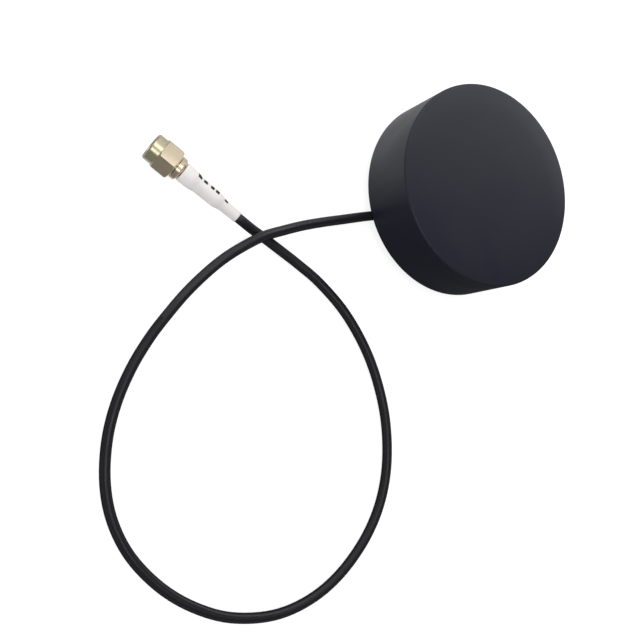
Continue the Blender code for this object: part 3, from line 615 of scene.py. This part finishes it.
class GPS_OT_stage(Operator):
    """The white table top, the soft lights and the camera"""

    bl_idname = "gps.stage"
    bl_label = "Stage"

    def execute(self, context):
        studio = context.scene.gps_studio
        context.scene.view_settings.view_transform = "Standard"
        context.scene.camera = self.camera(studio.lens)
        self.table()
        context.scene.world = self.room(studio.room)
        self.light("key", (-0.32, -0.10, 0.22), 0.40, studio.key)
        self.light("rim", (-0.16, 0.11, 0.20), 0.14, studio.rim)
        self.light("top", (0.07, -0.10, 0.50), 0.26, studio.top)
        self.light("edge", (-0.06, 0.22, 0.09), 0.12, studio.edge)
        self.light("fill", (0.10, -0.42, 0.30), 0.30, studio.fill).visible_glossy = False
        self.tent()
        return {"FINISHED"}

    def camera(self, lens):
        """Looks down at the object from beyond its plug, as the photograph does."""
        data = bpy.data.cameras.new("camera")
        data.lens = lens
        data.sensor_width = 36
        data.clip_start = 5 * MM
        data.clip_end = 20
        camera = in_scene("camera", data)
        turn = Matrix((CAMERA_RIGHT, CAMERA_UP, CAMERA_RIGHT.cross(CAMERA_UP))).transposed()
        camera.matrix_world = Matrix.Translation(CAMERA_PLACE) @ turn.to_4x4()
        return camera

    def table(self):
        """A wide table top, just under the object, that looks white but keeps a soft shadow.

        Reflections see a painted glow on the side away from the lead's loop, and painted shade on the loop's
        side.
        """
        gap = 0.02 * MM
        shape = bmesh.new()
        bmesh.ops.create_grid(shape, x_segments=1, y_segments=1, size=4)
        bmesh.ops.translate(shape, vec=(0, 0, -gap), verts=shape.verts)
        table = in_scene("table_top", finished_mesh("table_top", shape))
        material, tree, shader, place = new_material("white table top", 0.9)
        path = node(tree, "LightPath").outputs
        seen = seen_directly(tree, path)
        across = node(tree, "SeparateXYZ", {0: place}).outputs["X"]
        away = node(tree, "VectorMath", {0: place}, operation="LENGTH").outputs["Value"]
        # Painted light for reflections only: a glow on the side away from the loop and painted shade on the
        # loop's side, fading away from the puck
        painted_light_side = spread(tree, across, 0.88, 0.06, -28 * MM, 10 * MM)
        near_puck = spread(tree, away, 1.0, 0.3, 45 * MM, 130 * MM)
        patch = math_node(tree, "MULTIPLY", painted_light_side, near_puck)
        mirrored = math_node(tree, "MULTIPLY", path["Is Glossy Ray"], patch)
        white = math_node(tree, "MULTIPLY", seen, spread(tree, away, 0.80, 1.0, 0.2, 0.6))
        lit = math_node(tree, "MULTIPLY_ADD", path["Is Diffuse Ray"], 0.70, 0.05)
        lit = math_node(tree, "MULTIPLY_ADD", seen, 0.30, lit)
        tree.links.new(blend_colours(tree, lit, (0, 0, 0), (1, 1, 1)), shader["Base Color"])
        tree.links.new(math_node(tree, "MAXIMUM", white, mirrored), shader["Emission Strength"])
        behind = node(tree, "NewGeometry").outputs["Backfacing"]
        tree.links.new(math_node(tree, "SUBTRACT", 1.0, behind), shader["Alpha"])
        shader["Emission Color"].default_value = (1, 1, 1, 1)
        shader["Specular IOR Level"].default_value = 0.0
        give(table, material)

    def room(self, level):
        """Even light from all round, white to the camera. Reflections see it pale low down and dark above."""
        world = bpy.data.worlds.new("room")
        world.use_nodes = True
        tree = world.node_tree
        path = node(tree, "LightPath").outputs
        seen = seen_directly(tree, path)
        height = node(tree, "SeparateXYZ", {0: node(tree, "TexCoord").outputs["Generated"]}).outputs["Z"]
        wall = spread(tree, height, 0.80, 0.04, 0.0, 0.5)
        plain = math_node(tree, "MULTIPLY", path["Is Diffuse Ray"], level)
        mirrored = math_node(tree, "MULTIPLY", path["Is Glossy Ray"], wall)
        white = math_node(tree, "MAXIMUM", seen, math_node(tree, "MAXIMUM", plain, mirrored))
        tone = blend_colours(tree, white, (0.0, 0.0, 0.0), (1.0, 1.0, 1.0))
        tree.links.new(tone, tree.nodes["Background"].inputs["Color"])
        return world

    def tent(self):
        """A half tube round the plug that only reflections see, light and dark by turns."""
        radius = 34 * MM
        front = -18 * MM
        length = 48 * MM
        low = -nut_front.z + 0.1 * MM
        beside_plug = -7 * MM
        shape = bmesh.new()
        section = arc((0, 0), radius, 0, 180, 60) + [(-radius, low), (beside_plug, low)]
        verts = [shape.verts.new((across, up, front)) for across, up in section]
        edges = [shape.edges.new(pair) for pair in zip(verts, verts[1:])]
        result = bmesh.ops.extrude_edge_only(shape, edges=edges)
        far = [item for item in result["geom"] if isinstance(item, bmesh.types.BMVert)]
        bmesh.ops.translate(shape, vec=(0, 0, length), verts=far)
        tent = in_scene("light_tent", finished_mesh("light_tent", on_plug(shape)))
        tent.visible_camera = False
        tent.visible_diffuse = False
        tent.visible_shadow = False
        tent.visible_transmission = False
        material, tree, shader, place = new_material("light tent", 1.0)
        parts = node(tree, "SeparateXYZ", {0: plug_place(tree, place)}).outputs
        angle = math_node(tree, "ARCTAN2", parts["Y"], parts["X"])
        turn = math_node(tree, "DIVIDE", math_node(tree, "FLOORED_MODULO", angle, math.tau), TENT_ARC)
        ramp = node(tree, "ValToRGB", {"Fac": turn})
        bands = ramp.color_ramp
        while len(bands.elements) < len(TENT_BANDS):
            bands.elements.new(1.0)
        for element, (degrees, level) in zip(bands.elements, TENT_BANDS):
            element.position = math.radians(degrees) / TENT_ARC
            element.color = (level, level, level, 1)
        along = spread(tree, parts["Z"], 0.0, 1.0, 0.0, 12 * MM)
        tint = blend_colours(tree, along, (0.86, 0.94, 0.86), (1.0, 0.95, 0.95))
        glow = node(tree, "VectorMath", {0: ramp.outputs["Color"], 1: tint}, operation="MULTIPLY").outputs[0]
        shader["Base Color"].default_value = (0, 0, 0, 1)
        shader["Specular IOR Level"].default_value = 0.0
        tree.links.new(glow, shader["Emission Color"])
        shader["Emission Strength"].default_value = 2.0
        give(tent, material)

    def light(self, name, place, width, power):
        """A square soft light that faces the object."""
        data = bpy.data.lights.new(name, "AREA")
        data.size = width
        data.energy = power
        lamp = in_scene(name, data)
        lamp.visible_camera = False
        lamp.location = place
        middle = Vector((0.02, -0.05, 0))
        lamp.rotation_euler = (middle - lamp.location).to_track_quat("-Z", "Y").to_euler()
        return lamp


class GPS_OT_lead(Operator):
    """The coaxial lead, from the board to the plug"""

    bl_idname = "gps.lead"
    bl_label = "Lead"

    def execute(self, context):
        lead = context.scene.gps_lead
        route = lead_route()
        curve = bpy.data.curves.new("lead_curve", "CURVE")
        curve.dimensions = "3D"
        curve.bevel_depth = lead.diameter / 2
        curve.bevel_resolution = 8
        curve.use_fill_caps = True
        spline = curve.splines.new("POLY")
        spline.points.add(len(route) - 1)
        for point, place in zip(spline.points, route):
            point.co = (*place, 1)
        spline.use_smooth = True
        tube = in_scene("lead_curve", curve)
        shape = bmesh.new()
        shape.from_mesh(tube.to_mesh())
        bpy.data.objects.remove(tube)
        bpy.data.curves.remove(curve)
        bmesh.ops.remove_doubles(shape, verts=shape.verts, dist=WELD)
        bmesh.ops.recalc_face_normals(shape, faces=shape.faces)
        piece = new_piece("coax_lead", shape, "antenna", ["coax_cable"])
        smooth(piece)
        jacket = moulded(
            "lead jacket", lead.jacket_colour, roughness=0.42, cell=0.5 * MM, depth=0.003 * MM,
            smudge=9 * MM, specular=0.40,
        )
        give(piece, jacket)
        return {"FINISHED"}


class GPS_OT_cover(Operator):
    """The moulded cover: crowned face, rounded edge, straight side, recessed rim and screw bosses"""

    bl_idname = "gps.cover"
    bl_label = "Cover"

    def execute(self, context):
        puck = context.scene.gps_puck
        shape = turned(self.section(puck), steps=192)
        self.bosses(shape, puck)
        cover = new_piece("puck_cover", shape, "antenna", ["radome_cover"])
        smooth(cover, degrees=50)
        plastic = moulded(
            "charcoal moulding", puck.cover_colour, roughness=0.45, cell=0.32 * MM, depth=0.005 * MM,
            smudge=22 * MM, specular=0.36,
        )
        give(cover, plastic)
        return {"FINISHED"}

    def section(self, puck):
        """The cover's section, from the middle of the face down the outside and back up the inside."""
        top = cover_high.z
        rim = cover_low.z
        outer = puck.radius
        crown_width = outer - puck.edge_round - puck.crown_flat
        section = [(0, top)]
        crown_steps = 12
        for i in range(crown_steps + 1):
            share = i / crown_steps
            section.append((puck.crown_flat + crown_width * share, top - puck.crown_drop * share ** 2))
        round_centre = (outer - puck.edge_round, top - puck.crown_drop - puck.edge_round)
        section += arc(round_centre, puck.edge_round, 84, 0, 14)
        rim_round = 0.3 * MM
        section += arc((outer - rim_round, rim + rim_round), rim_round, 0, -90, 4)
        lip = outer - puck.lip
        inner = outer - puck.wall
        section += [(lip, rim), (lip, seal_high.z), (inner, seal_high.z)]
        ceiling = top - puck.top
        inner_round = puck.top / 2
        section += arc((inner - inner_round, ceiling - inner_round), inner_round, 0, 90, 8)
        return section + [(0, ceiling)]

    def bosses(self, shape, puck):
        """Four screw bosses under the cover's top, each tied to the wall by a rib."""
        inner = puck.radius - puck.wall
        circle = inner - 5.3 * MM
        low = seal_low.z
        high = cover_high.z - puck.top * 0.75
        hole_end = low + 9 * MM
        hole = 1.3 * MM
        outside = 2.9 * MM
        rib_start = circle + 2.5 * MM
        rib_end = inner + puck.wall / 4
        rib_half = 0.6 * MM
        rib_low = low + 2.6 * MM
        section = [
            (hole, low), (outside, low), (outside, high), (0, high), (0, hole_end), (hole, hole_end),
        ]
        for degrees in (45, 135, 225, 315):
            turn = Matrix.Rotation(math.radians(degrees), 3, "Z")
            boss = turned(section, steps=32)
            bmesh.ops.translate(boss, vec=(circle, 0, 0), verts=boss.verts)
            rib = block((rib_start, -rib_half, rib_low), (rib_end, rib_half, high))
            for part in (boss, rib):
                bmesh.ops.rotate(part, matrix=turn, verts=part.verts)
                join(shape, part)


class GPS_OT_foot(Operator):
    """The base plate, the foam pad and the lead's keyed relief"""

    bl_idname = "gps.foot"
    bl_label = "Foot"

    def execute(self, context):
        puck = context.scene.gps_puck
        base = new_piece("puck_base", merged_copy("base_plate"), "antenna", ["base_plate"])
        smooth(base, degrees=30)
        give(base, moulded("black moulding", puck.base_colour, 0.55, cell=0.25 * MM))
        shape = merged_copy("strain_relief")
        relief = new_piece("lead_relief", shape, "antenna", ["strain_relief"])
        smooth(relief, degrees=30)
        dark = shade(puck.base_colour, 0.8)
        give(relief, moulded("black rubber", dark, 0.62, cell=0.2 * MM, depth=0.004 * MM))
        self.pad(puck)
        return {"FINISHED"}

    def pad(self, puck):
        """A foam disc with a slot for the lead."""
        radius = pad_high.x
        shape = turned([(0, pad_high.z), (radius, pad_high.z), (radius, 0), (0, 0)], steps=144)
        soften(shape, degrees=50, offset=0.12 * MM, segments=2)
        pad = new_piece("foam_pad", shape, "antenna", ["foot_pad"])
        half = relief_high.x + 0.3 * MM
        slot_end = relief_high.y + LEAD_TURN / 2
        cut(pad, block((-half, -radius - MM, -MM), (half, slot_end, pad_high.z + MM)))
        smooth(pad, degrees=35)
        give(pad, foam("foam pad", puck.foam_colour))


class GPS_OT_inside(Operator):
    """Finishes for the pieces inside the puck and the plug, which keep their packed shapes"""

    bl_idname = "gps.inside"
    bl_label = "Inside"

    def execute(self, context):
        plug = context.scene.gps_plug
        steel = plated("zinc plated steel", (0.58, 0.58, 0.60), 0.34)
        tin = plated("tin plate", (0.66, 0.66, 0.67), 0.30)
        copper = plated("copper", (0.72, 0.40, 0.26), 0.36)
        resin = moulded("chip resin", (0.03, 0.03, 0.03), 0.60, cell=0.1 * MM, depth=0.003 * MM)
        silicone = moulded("silicone", (0.42, 0.10, 0.06), 0.50, depth=0.003 * MM)
        beige = (0.60, 0.52, 0.40)
        finishes = {
            "antenna_board": moulded("solder mask", (0.02, 0.14, 0.06), 0.40, cell=1.2 * MM, depth=0.01 * MM),
            "patch_tape": foam("foam tape", (0.02, 0.02, 0.02)),
            "patch_ceramic": moulded("patch ceramic", beige, 0.62, cell=0.12 * MM, depth=0.004 * MM),
            "patch_electrode": plated("fired silver", (0.80, 0.79, 0.75), 0.40),
            "feed_pin": tin,
            "shield_can": tin,
            "amplifier_chip": resin,
            "saw_filter": tin,
            "voltage_regulator": resin,
            "braid_end": copper,
            "core_end": copper,
            "base_gasket": silicone,
            "nut_gasket": silicone,
            "snap_ring": copper,
            "crimp_ferrule": plated("plated ferrule", plug.plating, 0.28),
        }
        for name in frame["nodes"]:
            if "_screw_" in name:
                finishes[name] = steel
        for name, material in finishes.items():
            give(frame["nodes"][name], material)
        return {"FINISHED"}


class GPS_OT_sleeve(Operator):
    """The white shrink sleeve, with plain strokes of ink"""

    bl_idname = "gps.sleeve"
    bl_label = "Shrink Sleeve"

    def execute(self, context):
        plug = context.scene.gps_plug
        outside = in_mm(
            (2.40, 10.2), (2.55, 10.24), (2.64, 10.4), (2.67, 11.0), (2.65, 12.4), (2.61, 13.6), (2.52, 14.3),
            (2.36, 14.9), (2.27, 15.5), (2.23, 16.4), (2.21, 18.6), (2.20, 20.8), (2.17, 21.6), (2.08, 22.2),
            (1.90, 22.9), (1.75, 23.5), (1.66, 24.2), (1.61, 25.4), (1.58, 27.0), (1.57, 28.6), (1.55, 28.82),
            (1.48, 28.9),
        )
        inside = in_mm((1.42, 28.9), (1.42, 24.0), (2.02, 22.1), (2.02, 15.1), (2.36, 14.3), (2.36, 10.2))
        outside = [tuple(point) for point in smooth_route([Vector(point) for point in outside], steps=3)]
        shape = on_plug(turned(outside + inside, steps=96))
        sleeve = new_piece("white_sleeve", shape, "antenna", ["heat_shrink_sleeve"])
        smooth(sleeve, degrees=60)
        give(sleeve, printed_sleeve("shrink sleeve", plug.sleeve_colour, plug.ink_colour, plug.strokes))
        return {"FINISHED"}


class GPS_OT_plug_body(Operator):
    """The plug's body: outer conductor, flange, ring groove, shank and polished neck ring"""

    bl_idname = "gps.plug_body"
    bl_label = "Plug Body"

    def execute(self, context):
        plug = context.scene.gps_plug
        section = in_mm(
            (0.90, 13.2), (1.45, 13.2), (1.45, 9.9), (2.66, 9.9), (2.80, 9.78), (3.19, 9.45), (3.19, 8.2),
            (2.35, 8.2), (2.35, 6.6), (2.00, 6.6), (2.00, 6.1), (2.75, 6.1), (2.75, 5.0), (2.30, 5.0),
            (2.30, 2.9), (2.10, 2.9), (2.10, 4.8), (1.55, 4.8), (1.55, 8.6), (0.90, 8.6),
        )
        shape = turned(section, steps=96)
        soften(shape, degrees=25, offset=0.07 * MM)
        body = new_piece("plug_body", on_plug(shape), "antenna", ["connector_body"])
        smooth(body)
        give(body, plated("plated body", plug.plating, 0.16))
        return {"FINISHED"}


class GPS_OT_contact(Operator):
    """The centre pin with its rounded tip, and the insulator that holds it"""

    bl_idname = "gps.contact"
    bl_label = "Centre Contact"

    def execute(self, context):
        plug = context.scene.gps_plug
        section = in_mm(
            (0.66, 8.5), (1.45, 8.5), (1.45, 4.7), (2.0, 4.7), (2.0, 2.9), (0.735, 2.9), (0.735, 8.0),
            (0.66, 8.1),
        )
        shape = turned(section, steps=72)
        soften(shape, degrees=50, offset=0.04 * MM, segments=2)
        insulator = new_piece("contact_insulator", on_plug(shape), "antenna", ["dielectric"])
        smooth(insulator)
        white = (0.84, 0.83, 0.80)
        give(insulator, moulded("insulator", white, 0.45, cell=0.4 * MM, depth=0.002 * MM, smudge=3 * MM))
        shank = in_mm(
            (0, 12.2), (0.46, 12.2), (0.46, 8.1), (0.635, 8.1), (0.635, 2.95), (0.60, 2.9), (0.46, 2.9),
        )
        nose = arc((0.16 * MM, 1.2 * MM), 0.30 * MM, 0, -90, 6)
        shape = on_plug(turned(shank + nose + [(0, 0.9 * MM)], steps=48))
        pin = new_piece("contact_pin", shape, "antenna", ["centre_pin"])
        smooth(pin)
        give(pin, plated("gold plate", plug.gold, 0.20))
        return {"FINISHED"}


class GPS_OT_nut(Operator):
    """The coupling nut: a hexagon with chamfered ends, a round collar and an inner thread"""

    bl_idname = "gps.nut"
    bl_label = "Coupling Nut"

    def execute(self, context):
        plug = context.scene.gps_plug
        shape = turned(self.section(plug), steps=120)
        self.mill_flats(shape, plug.flats / 2)
        nut = new_piece("hex_nut", on_plug(shape), "nut", ["coupling_nut"])
        edges = nut.modifiers.new("Edges", "BEVEL")
        edges.width = 0.22 * MM
        edges.segments = 3
        edges.limit_method = "ANGLE"
        edges.angle_limit = math.radians(15)
        apply_modifiers(nut)
        smooth(nut, degrees=60)
        plate = plated("plated nut", plug.plating, 0.17)
        give(nut, plate)
        thread = new_piece("nut_thread", on_plug(self.thread(plug)), "nut")
        smooth(thread)
        give(thread, plate)
        return {"FINISHED"}

    def section(self, plug):
        """The turned blank's section, out to the hexagon's corners."""
        corner = plug.flats / 2 / math.cos(math.radians(30))
        end = plug.flats / 2 - 0.10 * MM
        chamfer = math.radians(33)
        slope = (corner - end) * math.tan(chamfer)
        front = plug.collar_length
        back = plug.nut_length
        collar = plug.collar_radius
        bore = plug.bore_radius
        break_edge = 0.32 * MM
        rear_bore = 2.43 * MM
        relief_end = 6.75 * MM
        return [
            (rear_bore, back), (end, back), (corner, back - slope), (corner, front + slope), (end, front),
            (collar, front), (collar, break_edge), (collar - break_edge, 0), (bore + break_edge, 0),
            (bore, break_edge), (bore, relief_end), (rear_bore, relief_end),
        ]

    def mill_flats(self, shape, half):
        """Cuts the six flats, with one of them facing down."""
        for number in range(6):
            angle = math.radians(60 * number - 90)
            outward = Vector((math.cos(angle), math.sin(angle), 0))
            everything = list(shape.verts) + list(shape.edges) + list(shape.faces)
            result = bmesh.ops.bisect_plane(
                shape, geom=everything, plane_co=outward * half, plane_no=outward, clear_outer=True, dist=1e-8
            )
            rim = [item for item in result["geom_cut"] if isinstance(item, bmesh.types.BMEdge)]
            bmesh.ops.edgeloop_fill(shape, edges=rim)
        bmesh.ops.recalc_face_normals(shape, faces=shape.faces)

    def thread(self, plug):
        """One helical ridge inside the nut's mouth."""
        pitch = plug.thread_pitch
        turns = 5.4
        steps = 260
        root = plug.bore_radius + 0.02 * MM
        crest = plug.bore_radius - plug.thread_depth
        start = 0.45 * MM
        half = pitch * 0.42
        flat = 0.04 * MM
        corners = ((root, start - half), (crest, start - flat), (crest, start + flat), (root, start + half))
        shape = bmesh.new()
        face = shape.faces.new([shape.verts.new((radius, 0, depth)) for radius, depth in corners])
        bmesh.ops.spin(
            shape, geom=[*face.verts, *face.edges, face], axis=(0, 0, 1), cent=(0, 0, 0),
            dvec=(0, 0, pitch * turns / steps), angle=math.tau * turns, steps=steps,
        )
        bmesh.ops.recalc_face_normals(shape, faces=shape.faces)
        return shape


class GPS_PT_antenna(Panel):
    """Lists the settings and the operators that make the pieces"""

    bl_label = "GPS Antenna"
    bl_idname = "GPS_PT_antenna"
    bl_space_type = "VIEW_3D"
    bl_region_type = "UI"
    bl_category = "GPS Antenna"

    def draw(self, context):
        for group_name, kind in SETTINGS.items():
            box = self.layout.box()
            box.label(text=kind.__doc__)
            for name in kind.__annotations__:
                box.prop(getattr(context.scene, group_name), name)
        for operator in OPERATORS:
            self.layout.operator(operator.bl_idname)


SETTINGS = {
    "gps_puck": PuckSettings,
    "gps_lead": LeadSettings,
    "gps_plug": PlugSettings,
    "gps_studio": StudioSettings,
}
OPERATORS = (
    GPS_OT_stage,
    GPS_OT_lead,
    GPS_OT_cover,
    GPS_OT_foot,
    GPS_OT_inside,
    GPS_OT_sleeve,
    GPS_OT_plug_body,
    GPS_OT_contact,
    GPS_OT_nut,
)
CLASSES = (*SETTINGS.values(), *OPERATORS, GPS_PT_antenna)
PIECES_ON_LEAD = ("white_sleeve", "plug_body", "contact_insulator", "contact_pin", "hex_nut", "nut_thread")
NODES_ON_LEAD = ("crimp_ferrule", "nut_gasket", "snap_ring")


def register():
    """Adds the settings, the operators and the panel."""
    for kind in CLASSES:
        bpy.utils.register_class(kind)
    for name, kind in SETTINGS.items():
        setattr(bpy.types.Scene, name, PointerProperty(type=kind))


def unregister():
    """Takes them away again."""
    for name in SETTINGS:
        delattr(bpy.types.Scene, name)
    for kind in reversed(CLASSES):
        bpy.utils.unregister_class(kind)


def declare_cord():
    """Gathers the pieces and packed nodes on the lead's end into a list, and does nothing more with it."""
    pieces = [bpy.data.objects[name] for name in PIECES_ON_LEAD]
    pieces += [frame["nodes"][name] for name in NODES_ON_LEAD]


def main():
    """Makes the stage and every piece, in order."""
    register()
    bpy.ops.gps.stage()
    bpy.ops.gps.lead()
    bpy.ops.gps.cover()
    bpy.ops.gps.foot()
    bpy.ops.gps.inside()
    bpy.ops.gps.sleeve()
    bpy.ops.gps.plug_body()
    bpy.ops.gps.contact()
    bpy.ops.gps.nut()
    declare_cord()


if __name__ == "__main__":
    main()
